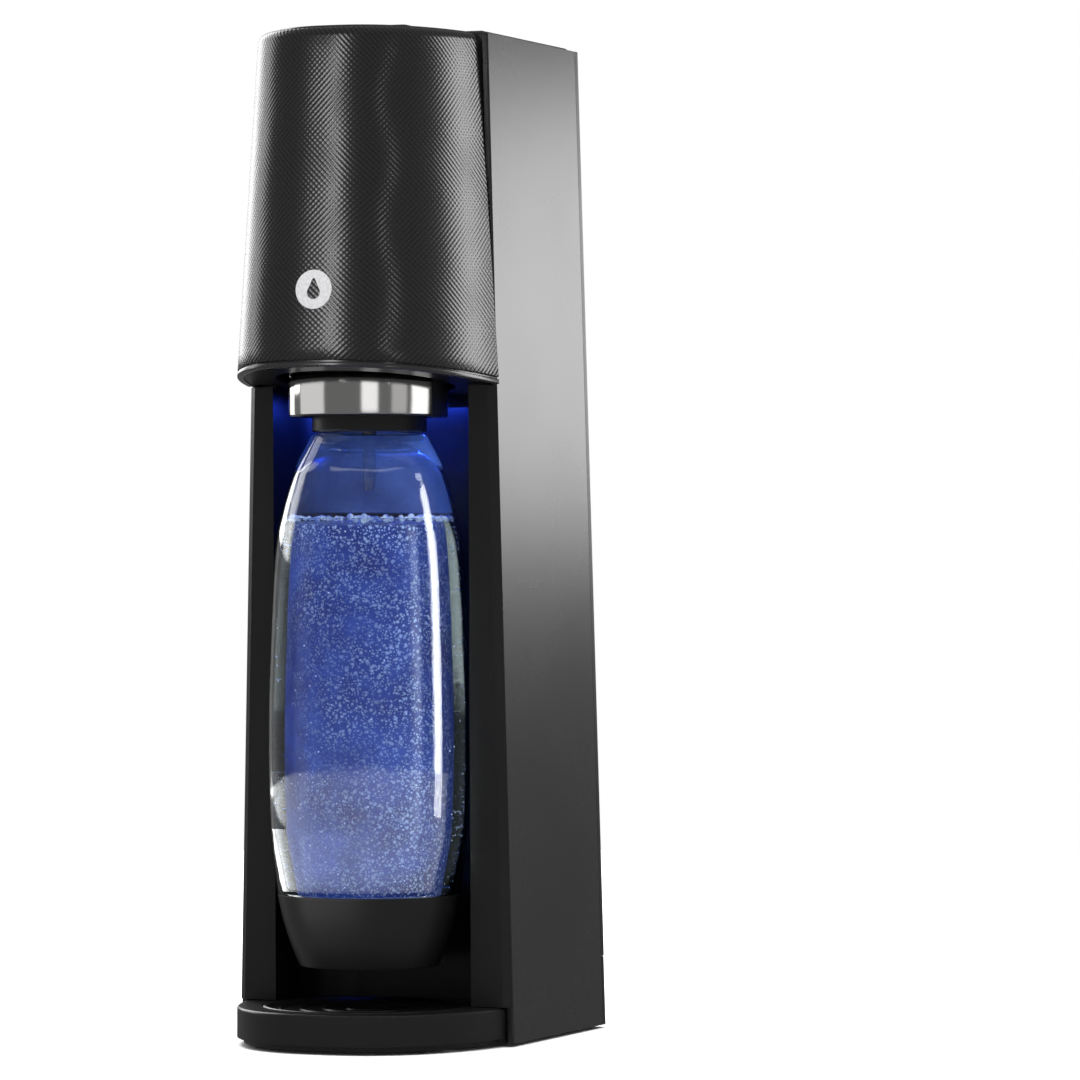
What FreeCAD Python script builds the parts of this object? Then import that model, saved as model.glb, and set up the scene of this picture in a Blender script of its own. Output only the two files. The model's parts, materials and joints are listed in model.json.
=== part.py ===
import FreeCAD, Part
import math
import os

V = FreeCAD.Vector

# Overall size, millimetres. In this source Y = 0 is the bottle's axis; every piece is moved by AXIS_Y on
# export, so that the finished part stands centred on the origin with its feet on Z = 0.
AXIS_Y = -29.6
HEIGHT = 440.4
FOOT_HEIGHT = 1.5
TOWER_TOP = 438.4

# Tower: half width, front face and rear face at its foot and at its top
TOWER_HALF = (65.0, 54.8)
TOWER_FRONT = (7.0, 2.0)
TOWER_REAR = (119.6, 110.6)
PANEL = 2.5
CORNER = 3.2
CHEEK = 3.1
CHEEK_TOP = 286.2
COVER_DEPTH = 7.0
COVER_FOOT = 32.4
FRAME_FOOT = 6.9
FRAME_TOP = 434.4
CHASSIS_Z = 322.0
EAR_Y = (26.0, 48.0)
LATCH_Y = (104.9, 107.9)

# Rounded front plan shared by the head and the base: a superellipse about CURVE_Y
POWER = 2.46
CURVE_Y = 50.3
HEAD_HALF = (62.8, 54.3)
HEAD_NOSE = (-60.4, -51.2)
HEAD_Z = (293.0, 436.0)
RIM_SLOPE = -0.10
HEAD_WALL = 2.5
COVER_TOP = 438.6
BASE_HALF = 64.0
BASE_NOSE = -58.3
BASE_TOP = 17.1
BASE_BOSSES = [(-46, -18), (46, -18), (-54, 40), (54, 40), (-50, 106), (50, 106)]
TRAY_Y = -3.0
TRAY_R = 45.0
INLET_X = -36.0
INLET_Z = 18.0
BADGE_Z = 326.0
BADGE_R = 8.4

# Niche and bottle
NICHE_R = 46.5
NICHE_CORNER = 20.0
NICHE_TOP = 287.0
BOTTLE_WALL = 1.4
NECK_TOP = 284.0
WATER_LEVEL = 228.0
RING_R = 34.2
BAND_R = 35.3
BAND_HALF_SPAN = 74.0
PIVOT_Z = 300.0
NOZZLE_TIP = 241.0
BOTTLE_SIDE = [(40.0, 66.2), (42.9, 92.0), (44.0, 128.0), (43.3, 168.0), (41.2, 211.0), (38.0, 231.0),
               (32.9, 249.0), (25.6, 264.0)]
RELIEF = (-28.0, 34.0)

# Gas cylinder and drive
CYL_Y = 80.2
CYL_R = 30.0
CYL_FOOT = 9.0
CYL_WALL = 4.0
VALVE_TOP = 364.0
LEVER_PIVOT = (66.5, 371.0)
LEVER_REACH = 39.0
GEAR_Y = 69.45
GEAR_Z = 396.0
GEAR_MODULE = 0.8
GEAR_TEETH = 40
PINION_TEETH = 10
HUB_MODULE = 1.0
HUB_TEETH = 12
PRESSURE = math.radians(25.0)
TOOTH_PLAY = 0.3

# Controls
BUTTON_X = (-22.0, 0.0, 22.0)
BUTTON_Y = -24.0
BUTTON_SIZE = (15.0, 9.0)
CAP_TOP = 439.8
LIGHT_Y = -34.5
BOARD_POSTS = [(-26.0, -15.0), (26.0, -15.0), (-11.0, -33.5), (11.0, -33.5)]


def between(pair, z, z0=FOOT_HEIGHT, z1=TOWER_TOP):
    return pair[0] + (pair[1] - pair[0]) * (z - z0) / (z1 - z0)


def half_at(z):
    return between(TOWER_HALF, z)


def front_at(z):
    return between(TOWER_FRONT, z)


def rear_at(z):
    return between(TOWER_REAR, z)


def rim_at(y):
    return HEAD_Z[0] + RIM_SLOPE * (y - HEAD_NOSE[0])


def box(x0, x1, y0, y1, z0, z1):
    return Part.makeBox(x1 - x0, y1 - y0, z1 - z0, V(x0, y0, z0))


def rod(x, y, z0, z1, r):
    return Part.makeCylinder(r, z1 - z0, V(x, y, z0), V(0, 0, 1))


def rod_x(x0, x1, y, z, r):
    return Part.makeCylinder(r, x1 - x0, V(x0, y, z), V(1, 0, 0))


def rod_y(x, y0, y1, z, r):
    return Part.makeCylinder(r, y1 - y0, V(x, y0, z), V(0, 1, 0))


def fuse(shapes):
    whole = shapes[0].multiFuse(shapes[1:])
    return whole.removeSplitter()


def cut(shape, tools):
    for tool in tools:
        shape = shape.cut(tool)
    return shape


def polygon_face(points):
    return Part.Face(Part.makePolygon(points + [points[0]]))


def frustum(outline, z0, z1):
    """A flat-sided solid between outline(z0) and outline(z1)."""
    low = [V(x, y, z0) for x, y in outline(z0)]
    high = [V(x, y, z1) for x, y in outline(z1)]
    faces = [polygon_face(low[::-1]), polygon_face(high)]
    count = len(low)
    for i in range(count):
        j = (i + 1) % count
        faces.append(polygon_face([low[i], low[j], high[j], high[i]]))
    solid = Part.Solid(Part.Shell(faces))
    if solid.Volume < 0:
        solid.reverse()
    return solid


def tower_rect(inset, front, rear):
    """Outline of a slice of the tower: front and rear are offsets from its front and rear faces."""
    def outline(z):
        w = half_at(z) - inset
        y0 = front_at(z) + front
        y1 = rear_at(z) + rear
        return [(-w, y0), (w, y0), (w, y1), (-w, y1)]
    return outline


def front_wire(z, half, nose, y_end, count=17):
    depth = CURVE_Y - nose
    start = math.asin(((CURVE_Y - y_end) / depth) ** (POWER / 2))
    points = []
    for i in range(count):
        t = start + (math.pi - 2 * start) * i / (count - 1)
        x = half * math.copysign(abs(math.cos(t)) ** (2 / POWER), math.cos(t))
        y = CURVE_Y - depth * math.sin(t) ** (2 / POWER)
        points.append(V(x, y, z))
    points[count // 2] = V(0, nose, z)
    curve = Part.BSplineCurve()
    curve.interpolate(points)
    return Part.Wire([curve.toShape(), Part.makeLine(points[-1], points[0])])


def front_solid(z0, section0, z1, section1):
    return Part.makeLoft([front_wire(z0, *section0), front_wire(z1, *section1)], True, True)


def head_section(z, inset=0.0, back=-0.5):
    half = between(HEAD_HALF, z, *HEAD_Z)
    nose = between(HEAD_NOSE, z, *HEAD_Z)
    return (half - inset, nose + inset, front_at(z) + back)


def head_solid(z0, z1, inset=0.0, back=-0.5):
    return front_solid(z0, head_section(z0, inset, back), z1, head_section(z1, inset, back))


def base_solid(z0, z1, inset=0.0, back=-0.3):
    section = (BASE_HALF - inset, BASE_NOSE + inset, front_at(9.0) + back)
    return front_solid(z0, section, z1, section)


def slanted_slab(low, high):
    """Space between two planes parallel to the head's underside."""
    y0 = -80.0
    y1 = 60.0
    points = [V(-100, y0, rim_at(y0) + low), V(-100, y1, rim_at(y1) + low),
              V(-100, y1, rim_at(y1) + high), V(-100, y0, rim_at(y0) + high)]
    return polygon_face(points).extrude(V(200, 0, 0))


def turned(profile, x=0.0, y=0.0):
    """A solid of revolution about a vertical line, from straight (radius, height) runs."""
    points = [V(x + r, y, z) for r, z in profile]
    return polygon_face(points).revolve(V(x, y, 0), V(0, 0, 1), 360)


def spline_edge(points):
    curve = Part.BSplineCurve()
    curve.interpolate([V(r, 0, z) for r, z in points])
    return curve.toShape()


def line_edges(points):
    return [Part.makeLine(V(a[0], 0, a[1]), V(b[0], 0, b[1])) for a, b in zip(points, points[1:])]


def turned_edges(edges):
    wire = Part.Wire(Part.__sortEdges__(edges))
    return Part.Face(wire).revolve(V(0, 0, 0), V(0, 0, 1), 360)


def round_edges(shape, radius, chosen):
    edges = [edge for edge in shape.Edges if chosen(edge)]
    return shape.makeFillet(radius, edges)


def at_height(z):
    def chosen(edge):
        return abs(edge.BoundBox.ZMin - z) < 0.01 and abs(edge.BoundBox.ZMax - z) < 0.01
    return chosen


def rounded_plate(x, y, size_x, size_y, z0, z1, radius):
    plate = box(x - size_x / 2, x + size_x / 2, y - size_y / 2, y + size_y / 2, z0, z1)
    return round_edges(plate, radius, lambda e: e.BoundBox.ZLength > (z1 - z0) * 0.9)


def coil(x, y, z0, z1, radius, wire_r, turns, steps=12):
    """A compression spring, lofted through round sections of its wire."""
    rise = z1 - z0 - 2 * wire_r
    sections = []
    for i in range(turns * steps + 1):
        angle = 2 * math.pi * i / steps
        height = z0 + wire_r + rise * i / (turns * steps)
        centre = V(x + radius * math.cos(angle), y + radius * math.sin(angle), height)
        along = V(-radius * math.sin(angle), radius * math.cos(angle), rise / (2 * math.pi * turns))
        sections.append(Part.Wire(Part.makeCircle(wire_r, centre, along)))
    return Part.makeLoft(sections, True, True)


def half_tooth(radius, pitch_r, teeth):
    base_r = pitch_r * math.cos(PRESSURE)
    at_pitch = math.pi / (2 * teeth) - TOOTH_PLAY / (4 * pitch_r)
    angle = math.acos(min(1.0, base_r / max(radius, base_r)))
    return at_pitch + math.tan(PRESSURE) - PRESSURE - math.tan(angle) + angle


def gear_solid(module, teeth, x0, x1, y, z, first_tooth):
    """A spur gear on an axis along X; first_tooth is the angle of one tooth from +Y."""
    pitch_r = module * teeth / 2
    radii = [pitch_r - 1.25 * module, pitch_r * math.cos(PRESSURE) + 0.01, pitch_r - 0.2 * module,
             pitch_r + 0.4 * module, pitch_r + 0.95 * module]
    points = []
    for tooth in range(teeth):
        centre = first_tooth + 2 * math.pi * tooth / teeth
        rise = [(r, centre - half_tooth(r, pitch_r, teeth)) for r in sorted(radii)]
        fall = [(r, centre + half_tooth(r, pitch_r, teeth)) for r in sorted(radii, reverse=True)]
        for r, angle in rise + fall:
            points.append(V(x0, y + r * math.cos(angle), z + r * math.sin(angle)))
    return polygon_face(points).extrude(V(x1 - x0, 0, 0))


def node(name, shape):
    shape = shape.copy()
    shape.translate(V(0, AXIS_Y, 0))
    shape.exportStep("parts/" + name + ".step")


# ---------------------------------------------------------------- base

def base_housing():
    front = round_edges(base_solid(3.7, BASE_TOP), 1.2,
                        lambda e: at_height(BASE_TOP)(e) and e.BoundBox.YLength > 5)
    niche_floor = bay(3.7, BASE_TOP, NICHE_R - 0.2)
    floor = frustum(frame_outline(0.1, -COVER_DEPTH + 1.0), 3.7, 6.7)
    bridge = box(-44, 44, -14, 10, 3.7, 6.7)
    sill = frustum(tower_rect(0.0, TOWER_REAR[0] - TOWER_FRONT[0] - COVER_DEPTH, 0.0), FOOT_HEIGHT, 32.0)
    sill = round_edges(sill, 5.0, lambda e: e.BoundBox.ZLength > 20 and e.BoundBox.YMax > 118)
    sill_hollow = frustum(tower_rect(2.4, 80.0, -2.4), 6.7, 33.0)
    hollow = base_solid(3.0, BASE_TOP - 5.5, HEAD_WALL, 20.0).cut(box(-70, 70, 6.5, 40, 0, 40))
    niche_hollow = bay(6.7, BASE_TOP - 5.5, NICHE_R - 2.7)
    shell = fuse([front.cut(hollow), niche_floor.cut(niche_hollow), floor, bridge, sill.cut(sill_hollow)])
    bosses = [rod(x, y, 3.7, 11.6, 4.0) for x, y in BASE_BOSSES]
    seat = rod(0, CYL_Y, 6.0, CYL_FOOT, 27.0).cut(rod(0, CYL_Y, 6.0, CYL_FOOT, 22.0))
    shell = fuse([shell, seat] + bosses)
    holes = [rod(x, y, 3.0, 10.5, 1.6) for x, y in BASE_BOSSES]
    recess = rod(0, TRAY_Y, BASE_TOP - 3.0, 30, TRAY_R + 0.4)
    window = box(INLET_X - 7, INLET_X + 7, 105, 125, INLET_Z - 5.5, INLET_Z + 5.5)
    return cut(shell, holes + [recess, window])


def bottom_plate():
    front = base_solid(FOOT_HEIGHT, 3.5, HEAD_WALL + 0.3, 0.0)
    rear = frustum(frame_outline(0.3, -COVER_DEPTH - 0.3), FOOT_HEIGHT, 3.5)
    bridge = box(-44, 44, -14, 10, FOOT_HEIGHT, 3.5)
    plate = fuse([front, rear, bridge])
    tools = []
    for x, y in BASE_BOSSES:
        tools.append(rod(x, y, 1.0, 2.7, 3.7))
        tools.append(rod(x, y, 2.0, 4.0, 1.6))
    return cut(plate, tools)


def base_screws():
    screws = []
    for x, y in BASE_BOSSES:
        head = rod(x, y, 1.7, 2.7, 3.4).cut(box(x - 2, x + 2, y - 0.4, y + 0.4, 1.6, 2.2))
        screws.append(head.fuse(rod(x, y, 2.7, 10.0, 1.6)))
    return Part.makeCompound(screws)


def rubber_feet():
    places = [(-34, -30), (34, -30), (-50, 86), (50, 86)]
    feet = []
    for x, y in places:
        feet.append(turned([(0, 0), (6.0, 0), (7.0, 0.8), (7.0, FOOT_HEIGHT), (0, FOOT_HEIGHT)], x, y))
    return Part.makeCompound(feet)


def drip_tray():
    low = BASE_TOP - 3.0
    tray = turned([(0, low), (TRAY_R - 1.0, low), (TRAY_R, low + 1.0), (TRAY_R, BASE_TOP - 0.3),
                   (TRAY_R - 0.6, BASE_TOP + 0.2), (TRAY_R - 1.6, BASE_TOP + 0.2),
                   (TRAY_R - 4.0, low + 1.4), (0, low + 1.4)], 0, TRAY_Y)
    ribs = [turned([(r, low + 1.3), (r + 1.4, low + 1.3), (r + 1.0, low + 2.0), (r + 0.4, low + 2.0)],
                   0, TRAY_Y) for r in (8.0, 18.0, 28.0, 37.0)]
    return fuse([tray] + ribs)


def power_inlet():
    face = rear_at(INLET_Z) - 0.6
    body = box(INLET_X - 6.8, INLET_X + 6.8, face - 13, face, INLET_Z - 5.3, INLET_Z + 5.3)
    body = body.cut(rod_y(INLET_X, face - 10, face + 1, INLET_Z, 3.1))
    return body.fuse(rod_y(INLET_X, face - 11, face - 1.5, INLET_Z, 1.0))


# ---------------------------------------------------------------- tower

def frame_outline(inset, rear):
    def outline(z):
        w = half_at(z) - PANEL - 0.2 - inset
        y0 = front_at(z) + inset
        y1 = rear_at(z) + rear
        c = CORNER + 0.6 - 0.4 * inset
        return [(-w + c, y0), (w - c, y0), (w, y0 + c), (w, y1), (-w, y1), (-w, y0 + c)]
    return outline


def bay(z0, z1, half):
    """The niche's plan: half round at the front of its middle, square with rounded corners behind it."""
    back = box(-half, half, 0, half, z0, z1)
    back = round_edges(back, half - NICHE_R + NICHE_CORNER,
                       lambda e: e.BoundBox.ZLength > (z1 - z0) * 0.9 and e.BoundBox.YMin > half - 0.1)
    return fuse([rod(0, 0, z0, z1, half), back])


def cheek(side):
    """The chamfered edge strip that stands in front of a side panel's front edge, beside the niche."""
    def outline(z):
        w = half_at(z)
        y = front_at(z)
        run = [(44.0, y - CHEEK), (w - CHEEK, y - CHEEK), (w, y), (w - PANEL - 0.2, y),
               (w - PANEL - 0.2, y + CORNER + 0.6), (w - PANEL - CORNER - 0.8, y + 1.0), (44.0, y + 1.0)]
        return run if side > 0 else [(-x, y1) for x, y1 in reversed(run)]
    return frustum(outline, BASE_TOP + 0.3, CHEEK_TOP)


def body_frame():
    outer = frustum(frame_outline(0.0, -COVER_DEPTH - 0.6), FRAME_FOOT, FRAME_TOP)
    inner = frustum(frame_outline(2.2, 20.0), FRAME_FOOT - 1, FRAME_TOP + 1)
    channel = bay(0, NICHE_TOP, NICHE_R)
    tube = bay(FRAME_FOOT, NICHE_TOP, NICHE_R + 2.1)
    behind = frustum(tower_rect(6.0, 0.0, -20.0), FRAME_FOOT, NICHE_TOP)
    shell = outer.cut(inner)
    shell = fuse([shell, tube.common(behind), cheek(-1), cheek(1)])
    mouth = box(-NICHE_R + 0.5, NICHE_R - 0.5, -10, 12, NICHE_TOP, FRAME_TOP + 1)
    ledges = []
    screws = []
    for side in (-1, 1):
        w = half_at(CHASSIS_Z) - PANEL - 1.0
        ledge = box(46.5, w, EAR_Y[0], EAR_Y[1], CHASSIS_Z - 8, CHASSIS_Z)
        if side < 0:
            ledge = ledge.mirror(V(0, 0, 0), V(1, 0, 0))
        ledges.append(ledge)
        screws.append(rod(side * 49.5, 41.0, CHASSIS_Z - 7, CHASSIS_Z + 1, 1.6))
    return cut(fuse([shell.cut(channel)] + ledges), [mouth] + screws)


def side_panel(side):
    def outline(z):
        w = half_at(z)
        y0 = front_at(z) + 0.3
        y1 = rear_at(z) - COVER_DEPTH - 0.3
        return [(side * (w - PANEL), y0), (side * w, y0), (side * w, y1), (side * (w - PANEL), y1)]
    panel = frustum(outline, FOOT_HEIGHT, TOWER_TOP)
    outer_front = [e for e in panel.Edges
                   if e.BoundBox.ZLength > 400 and e.BoundBox.YMax < 20 and
                   max(abs(e.BoundBox.XMin), abs(e.BoundBox.XMax)) > 64.9]
    return panel.makeChamfer(0.7, outer_front)


def rear_cover():
    def outline(z):
        w = half_at(z)
        y1 = rear_at(z)
        return [(-w, y1 - COVER_DEPTH), (w, y1 - COVER_DEPTH), (w, y1), (-w, y1)]

    def hollow(z):
        w = half_at(z) - 2.0
        y1 = rear_at(z) - 2.0
        return [(-w, y1 - COVER_DEPTH), (w, y1 - COVER_DEPTH), (w, y1), (-w, y1)]

    def rear_edge(edge):
        upright = edge.BoundBox.ZLength > 300 and edge.BoundBox.YMax > 116
        crest = at_height(TOWER_TOP)(edge) and edge.BoundBox.YMin > TOWER_REAR[1] - 0.1
        return upright or crest
    outer = round_edges(frustum(outline, COVER_FOOT, TOWER_TOP), 4.5, rear_edge)
    shell = outer.cut(frustum(hollow, COVER_FOOT - 5, TOWER_TOP - 2.4))
    back = rear_at(412.0)
    shelf = box(-9, 9, back - 6.4, back - 1.9, 411.6, 413.8)
    cheeks = [box(x - 1.5, x + 1.5, back - 6.4, back - 1.9, 411.6, 432) for x in (-10.2, 10.2)]
    slot = box(-8.3, 8.3, LATCH_Y[0] - 0.3, LATCH_Y[1] + 0.3, 430, 445)
    grips = [box(-24, 24, 105, 130, z, z + 1.2) for z in (396.0, 400.0, 404.0)]
    skin = frustum(lambda z: [(-60, rear_at(z) - 0.6), (60, rear_at(z) - 0.6),
                              (60, rear_at(z) + 5), (-60, rear_at(z) + 5)], 390, 410)
    shell = fuse([shell, shelf] + cheeks).cut(slot)
    return cut(shell, [grip.common(skin) for grip in grips])


def cover_latch():
    crown = TOWER_TOP + 1.4
    body = box(-8, 8, LATCH_Y[0], LATCH_Y[1], 424.0, crown)
    body = round_edges(body, 0.8, at_height(crown))
    tooth = box(-5, 5, LATCH_Y[0] - 2.6, LATCH_Y[0] + 1, 424.0, 426.6)
    return fuse([body, tooth])


def latch_spring():
    return coil(0, (LATCH_Y[0] + LATCH_Y[1]) / 2, 413.9, 423.9, 1.05, 0.25, 7)


# ---------------------------------------------------------------- head

def badge_tool(radius, depth):
    """A short rod square to the head's sloping nose, its outer face at the nose."""
    slope = (HEAD_NOSE[1] - HEAD_NOSE[0]) / (HEAD_Z[1] - HEAD_Z[0])
    inward = V(0, 1, -slope).normalize()
    nose = V(0, between(HEAD_NOSE, BADGE_Z, *HEAD_Z), BADGE_Z)
    return nose, inward, Part.makeCylinder(radius, depth, nose - inward * 0.35, inward)


def head_cover():
    shell = round_edges(head_solid(284.0, COVER_TOP), 4.0,
                        lambda e: at_height(COVER_TOP)(e) and e.BoundBox.YLength > 20)
    hollow = head_solid(283.0, 432.0, HEAD_WALL, 8.0)
    mouth = head_solid(431.0, 440.0, 6.5, 8.0)
    shell = cut(shell, [hollow, mouth, slanted_slab(-40.0, 3.0)])
    return shell.cut(badge_tool(BADGE_R + 0.1, 1.35)[2])


def head_rim():
    ring = head_solid(283.0, 305.0).cut(head_solid(282.0, 306.0, HEAD_WALL + 0.4, 8.0))
    lip = ring.common(slanted_slab(0.0, 2.2))
    tongue = head_solid(283.0, 305.0, 1.2).cut(head_solid(282.0, 306.0, HEAD_WALL, 8.0))
    return fuse([lip, tongue.common(slanted_slab(2.0, 3.0))])


def badge():
    nose, inward, disc = badge_tool(BADGE_R, 1.2)
    drop_r = 2.6
    outer = nose - inward * 1.0
    ball = Part.makeCylinder(drop_r, 1.1, outer + V(0, 0, -1.5), inward)
    half = drop_r * math.cos(math.radians(25))
    rise = drop_r * math.sin(math.radians(25))
    tip = [V(-half, 0, rise - 1.5), V(half, 0, rise - 1.5), V(0, 0, 5.2)]
    point = polygon_face([outer + corner for corner in tip]).extrude(inward * 1.1)
    return cut(disc, [ball, point])


def head_underside():
    front = head_solid(281.0, 305.0, HEAD_WALL + 0.6, -0.5)
    back = bay(270.0, 300.0, NICHE_R - 0.3).cut(box(-60, 60, -60, 6.5, 260, 310))
    bridge = box(-NICHE_R + 2.5, NICHE_R - 2.5, -6, 12, 270, 300)
    plate = fuse([front, back, bridge]).common(slanted_slab(0.3, 2.5))
    opening = [rod(0, 0, 270, 300, 37.6), rod(0, -7.6, 270, 300, 37.6), box(-37.6, 37.6, -7.6, 0, 270, 300)]
    opening.append(box(-14.2, 14.2, 38.8, 43.2, 270, 300))
    return cut(plate, opening)


def niche_light_lens():
    lens = box(-14.0, 14.0, 39.0, 43.0, 270, 300).common(slanted_slab(0.0, 2.5))
    return lens


def light_board():
    board = box(-15, 15, 37.0, 43.5, 286.2, 287.8)
    lamps = [box(x - 1.6, x + 1.6, 39.6, 42.4, 285.6, 286.2) for x in (-9.0, 0.0, 9.0)]
    return fuse([board] + lamps)


def top_cap():
    front = front_solid(434.6, head_section(436.0, 6.8, 4.0), CAP_TOP, head_section(436.0, 6.8, 4.0))
    rear = box(-52.0, 52.0, 4.5, 102.4, 434.6, CAP_TOP)
    cap = fuse([front, rear])
    cap = round_edges(cap, 1.6, at_height(CAP_TOP))
    posts = [rod(x, y, 426.2, 435.0, 2.4) for x, y in BOARD_POSTS]
    keeper = box(-7, 7, 98.5, 102.4, 428.6, 435.0)
    cap = fuse([cap, keeper] + posts)
    w, d = BUTTON_SIZE
    tools = [rounded_plate(x, BUTTON_Y, w + 0.6, d + 0.6, 430, 445, 2.8) for x in BUTTON_X]
    tools += [rod(x, LIGHT_Y, 430, 445, 1.5) for x in BUTTON_X]
    return cut(cap, tools)


def preset_button(x):
    w, d = BUTTON_SIZE
    cap = rounded_plate(x, BUTTON_Y, w, d, 433.0, HEIGHT, 2.5)
    cap = round_edges(cap, 0.7, at_height(HEIGHT))
    flange = rounded_plate(x, BUTTON_Y, w + 3.0, d + 2.6, 432.4, 434.2, 2.5)
    stem = rod(x, BUTTON_Y, 431.4, 433.0, 2.0)
    return fuse([cap, flange, stem])


def switch_board():
    return rounded_plate(0, -24.5, 60.0, 25.0, 424.6, 426.2, 9.0)


def preset_switches():
    group = []
    for x in BUTTON_X:
        group.append(fuse([box(x - 3, x + 3, BUTTON_Y - 3, BUTTON_Y + 3, 426.2, 429.0),
                           rod(x, BUTTON_Y, 429.0, 430.0, 1.7)]))
    return Part.makeCompound(group)


def level_lights():
    return Part.makeCompound([rod(x, LIGHT_Y, 426.4, CAP_TOP, 1.5) for x in BUTTON_X])


def head_chassis():
    plate = box(-44, 44, -30, 48, CHASSIS_Z, CHASSIS_Z + 3)
    plate = round_edges(plate, 8.0, lambda e: e.BoundBox.ZLength > 2.9 and e.BoundBox.YMax < 0)
    ears = box(-52.4, 52.4, EAR_Y[0], EAR_Y[1], CHASSIS_Z, CHASSIS_Z + 3)
    lugs = []
    for side in (-1, 1):
        x0 = min(side * 37.5, side * 42.5)
        lug = box(x0, x0 + 5.0, -8, 8, 292.5, CHASSIS_Z + 1)
        lug = lug.cut(rod_x(x0 - 1, x0 + 6, 0, PIVOT_Z, 2.5))
        lugs.append(lug)
    chassis = fuse([plate, ears] + lugs)
    tools = [rod(0, 0, 300, 340, 14.0)]
    tools += [rod(side * 49.5, 41.0, 300, 340, 1.6) for side in (-1, 1)]
    return cut(chassis, tools)


def chassis_screws():
    group = []
    for side in (-1, 1):
        x = side * 49.5
        head = rod(x, 41.0, CHASSIS_Z + 3, CHASSIS_Z + 5, 3.0)
        head = head.cut(box(x - 0.4, x + 0.4, 38.9, 43.1, CHASSIS_Z + 4, CHASSIS_Z + 6))
        group.append(head.fuse(rod(x, 41.0, CHASSIS_Z - 6.5, CHASSIS_Z + 3, 1.6)))
    return Part.makeCompound(group)


# ---------------------------------------------------------------- bottle holder and nozzle

def holder_pins():
    left = rod_x(-43.0, -31.0, 0, PIVOT_Z, 2.5).fuse(rod_x(-45.0, -43.0, 0, PIVOT_Z, 1.2))
    left = left.cut(rod_x(-50, -32, 0, PIVOT_Z, 0.8))
    return Part.makeCompound([left, rod_x(31.0, 43.0, 0, PIVOT_Z, 2.5)])


def bottle_holder():
    ring = rod(0, 0, 272.8, PIVOT_Z + 3, RING_R).cut(rod(0, 0, 272, 298.0, 28.5))
    bosses = [rod_x(28.8, 36.9, 0, PIVOT_Z, 6.0), rod_x(-36.9, -28.8, 0, PIVOT_Z, 6.0)]
    ring = fuse([ring] + bosses)
    tools = [rod(0, 0, 290, 310, 17.2)]
    tools += [rod_x(30.6, 40, 0, PIVOT_Z, 2.56), rod_x(-40, -30.6, 0, PIVOT_Z, 2.56)]
    tools.append(box(-14, 14, 20, 40, 270, 279))
    return cut(ring, tools)


def holder_band():
    section = polygon_face([V(RING_R + 0.1, 0, 273.4), V(BAND_R, 0, 273.4),
                            V(BAND_R, 0, 291.4), V(RING_R + 0.1, 0, 291.4)])
    section.rotate(V(0, 0, 0), V(0, 0, 1), -90 - BAND_HALF_SPAN)
    return section.revolve(V(0, 0, 0), V(0, 0, 1), 2 * BAND_HALF_SPAN)


def neck_collar():
    return turned([(17.0, 266.2), (24.2, 266.2), (25.0, 267.0), (25.0, 272.8), (28.5, 272.8),
                   (28.5, 276.0), (17.0, 276.0)])


def neck_seal():
    return turned([(10.5, 284.6), (11.2, 284.3), (15.8, 284.3), (16.5, 284.6), (16.5, 288.0), (10.5, 288.0)])


def nozzle_block():
    return turned([(3.0, 288.0), (17.2, 288.0), (17.2, 303.5), (9.0, 306.0), (9.0, 312.0), (3.0, 312.0)])


def nozzle_tube():
    return turned([(1.2, NOZZLE_TIP + 2), (0.6, NOZZLE_TIP), (2.2, NOZZLE_TIP), (3.0, NOZZLE_TIP + 5),
                   (3.0, 310.0), (1.2, 310.0)])


def bottle():
    foot = [(0, 44.0), (14.0, 41.0), (26.0, 41.0), (33.4, 51.0), (36.0, 58.0), (37.5, 65.6), (39.2, 65.9),
            (40.0, 66.2)]
    neck = [(25.6, 264.0), (24.0, 265.4), (16.2, 265.6), (15.2, 267.0), (15.2, 279.0), (15.8, 280.0),
            (15.8, 282.5), (15.0, NECK_TOP), (0, NECK_TOP), (0, 44.0)]
    outer = turned_edges([spline_edge(BOTTLE_SIDE)] + line_edges(foot) + line_edges(neck))
    return outer.cut(bottle_hollow(BOTTLE_WALL, NECK_TOP + 1))


def bottle_hollow(wall, top):
    side = [(r - wall, z) for r, z in BOTTLE_SIDE[1:-1]]
    low = [(0, 44.0 + wall), (14.0, 41.0 + wall), (25.4, 41.0 + wall), (33.4 - wall, 52.0),
           (36.0 - wall, 59.0), (38.0 - wall, 67.0), side[0]]
    high = [side[-1], (24.4 - wall, 262.0), (14.6 - wall, 265.6 - wall), (13.2 - wall, 268.0)]
    high += [(13.2 - wall, top), (0, top), (0, 44.0 + wall)]
    return turned_edges([spline_edge(side)] + line_edges(low) + line_edges(high))


def water_fill():
    return bottle_hollow(BOTTLE_WALL + 0.05, NECK_TOP).common(rod(0, 0, 30, WATER_LEVEL, 60))


def bottle_base_cup():
    outer = spline_edge([(30.3, 34.5), (34.2, 44.0), (37.6, 55.0), (39.8, 65.5)])
    inner = spline_edge([(37.8, 65.5), (35.9, 55.0), (33.0, 45.8), (28.6, 38.0)])
    top = line_edges([(39.8, 65.5), (37.8, 65.5)])
    foot = line_edges([(28.6, 38.0), (0, 38.6), (0, 36.8), (24.0, 36.2), (26.0, 34.2), (29.6, 34.2),
                       (30.3, 34.5)])
    return turned_edges([outer, inner] + top + foot)


# ---------------------------------------------------------------- gas cylinder, valve seat and drive

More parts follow.
